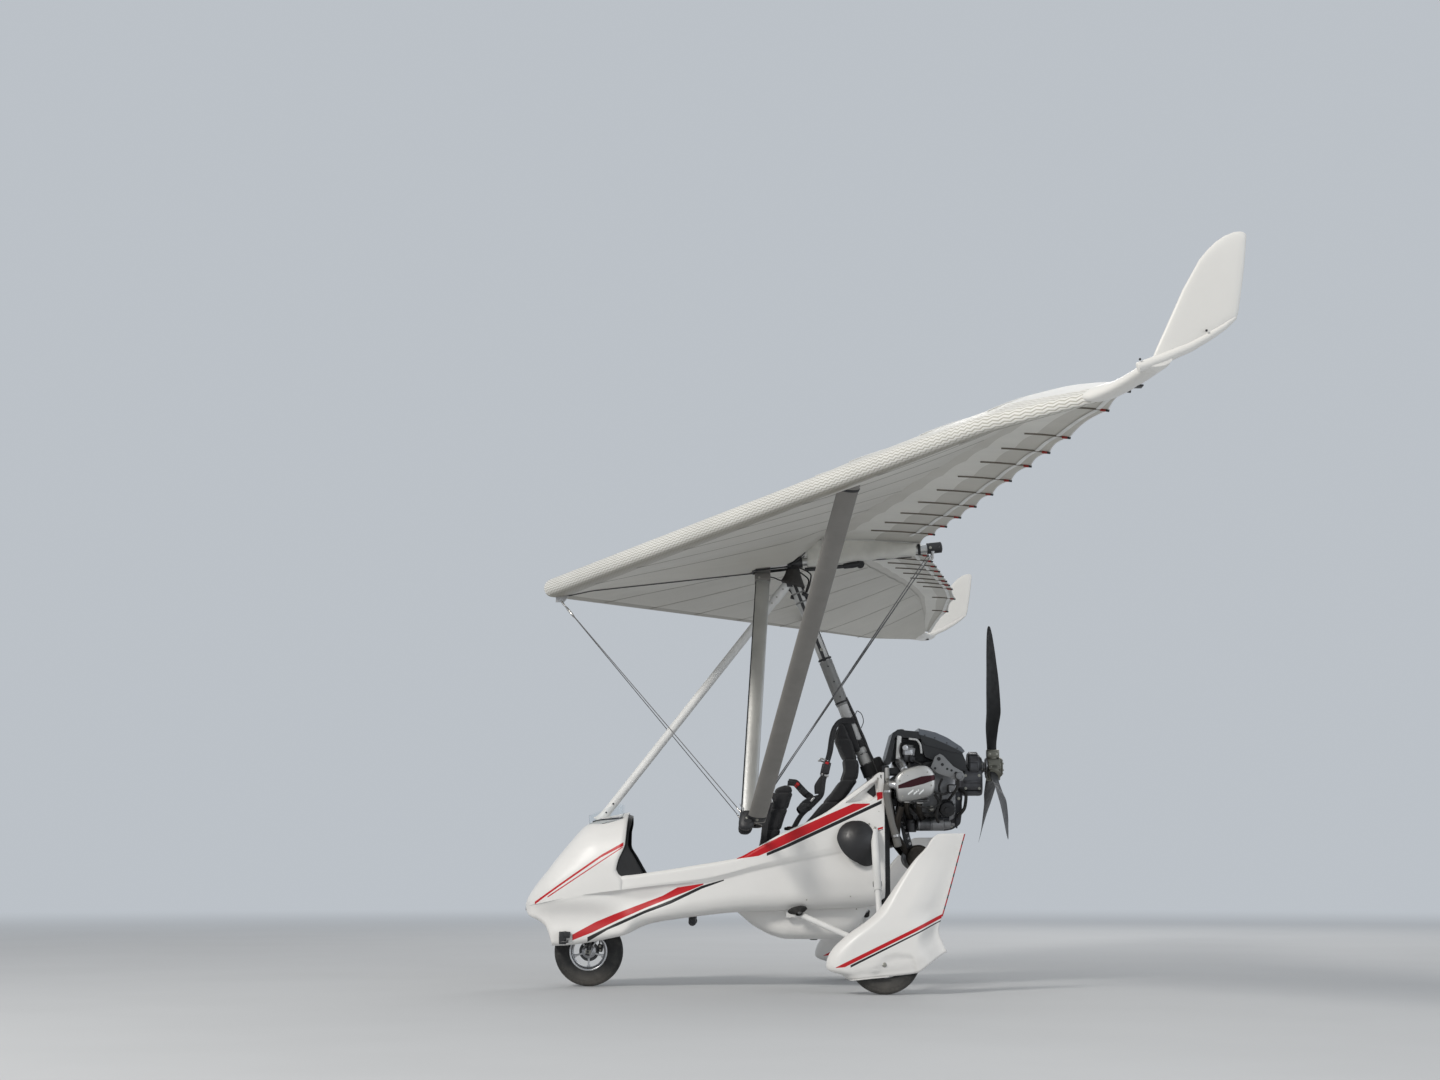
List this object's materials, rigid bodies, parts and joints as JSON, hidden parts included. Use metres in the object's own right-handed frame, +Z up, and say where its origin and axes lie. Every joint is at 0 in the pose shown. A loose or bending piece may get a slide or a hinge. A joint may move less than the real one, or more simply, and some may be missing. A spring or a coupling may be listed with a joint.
{
  "type": "two-seat weight-shift ultralight aircraft",
  "caption": "Two-seat flex-wing trike on three wheels with a pod, a pusher engine and propeller, and a strutted wing with winglets that pitches and rolls on its hang point.",
  "frame": {"origin": "on the ground below the hang point, at the middle of the aircraft's length and span", "axes": "+X aft, +Y to starboard, +Z up"},
  "size_m": [3.167, 10.01, 3.0679],
  "materials": {
    "white_gelcoat": "gloss",
    "tyre": "matte",
    "rim_alloy": "satin",
    "black_frame": "semi-gloss",
    "white_tube": "gloss",
    "silver_tube": "satin",
    "fitting": "satin",
    "black_fitting": "matte",
    "grey_sleeve": "matte",
    "blade": "satin",
    "sail": "matte",
    "seat": "matte",
    "engine_alloy": "satin",
    "head_alloy": "satin",
    "black_plastic": "satin",
    "grey_plastic": "satin",
    "dark_steel": "satin",
    "cable": "satin",
    "clear_screen": "clear"
  },
  "bodies": {
    "root": {"pod_tub": "white_gelcoat", "nose_cowl": "white_gelcoat", "cockpit_sides": "white_gelcoat", "rear_bulkhead": "white_gelcoat", "belly_fairing": "white_gelcoat", "instrument_panel": "black_plastic", "windscreen": "clear_screen", "keel_beam": "black_frame", "seat_pan": "black_plastic", "front_seat_cushion": "seat", "front_seat_back": "seat", "rear_seat_cushion": "seat", "rear_seat_back": "seat", "engine_frame": "black_frame", "mast": "black_frame", "mast_sleeve": "grey_sleeve", "front_strut": "white_tube", "mast_head": "fitting", "suspension_arms": "white_tube", "left_spat": "white_gelcoat", "right_spat": "white_gelcoat", "spring_struts": "white_tube", "strut_covers": "black_plastic", "crankcase": "engine_alloy", "cylinders": "engine_alloy", "head_covers": "head_alloy", "airbox": "black_plastic", "airbox_lid": "grey_plastic", "gearbox": "dark_steel", "exhaust": "dark_steel"},
    "fork": {"front_fork": "black_frame", "foot_bar": "fitting"},
    "front_wheel": {"front_tyre": "tyre", "front_rim": "rim_alloy"},
    "left_rear_wheel": {"left_rear_tyre": "tyre", "left_rear_rim": "rim_alloy"},
    "right_rear_wheel": {"right_rear_tyre": "tyre", "right_rear_rim": "rim_alloy"},
    "propeller": {"propeller_hub": "fitting", "propeller_blades": "blade"},
    "hang_block": {"hang_block": "fitting"},
    "wing": {"keel_tube": "silver_tube", "keel_end": "black_fitting", "nose_plate": "fitting", "left_sail": "sail", "right_sail": "sail", "winglets": "white_gelcoat", "apex_bracket": "fitting", "corner_fittings": "black_fitting", "base_bar": "silver_tube", "uprights": "silver_tube", "lift_struts": "silver_tube", "stays": "cable"}
  },
  "joints": [
    {"name": "steering", "type": "hinge", "parent": "root", "child": "fork", "pos_m": [-1.21, 0, 0.2], "axis": [0.2079, 0, 0.9781], "range_deg": [-20, 20]},
    {"name": "front_wheel_spin", "type": "hinge", "parent": "fork", "child": "front_wheel", "pos_m": [-1.21, 0, 0.2], "axis": [0, 1, 0], "continuous": true},
    {"name": "left_rear_wheel_spin", "type": "hinge", "parent": "root", "child": "left_rear_wheel", "pos_m": [0.455, -0.85, 0.2], "axis": [0, 1, 0], "continuous": true},
    {"name": "right_rear_wheel_spin", "type": "hinge", "parent": "root", "child": "right_rear_wheel", "pos_m": [0.455, 0.85, 0.2], "axis": [0, 1, 0], "continuous": true},
    {"name": "propeller_spin", "type": "hinge", "parent": "root", "child": "propeller", "pos_m": [1.165, 0, 1.268], "axis": [1, 0, 0], "continuous": true},
    {"name": "wing_pitch", "type": "hinge", "parent": "root", "child": "hang_block", "pos_m": [0, 0, 2.36], "axis": [0, 1, 0], "range_deg": [-1, 25]},
    {"name": "wing_roll", "type": "hinge", "parent": "hang_block", "child": "wing", "pos_m": [0, 0, 2.482], "axis": [0.9942, 0, 0.1074], "range_deg": [-12, 12]}
  ]
}
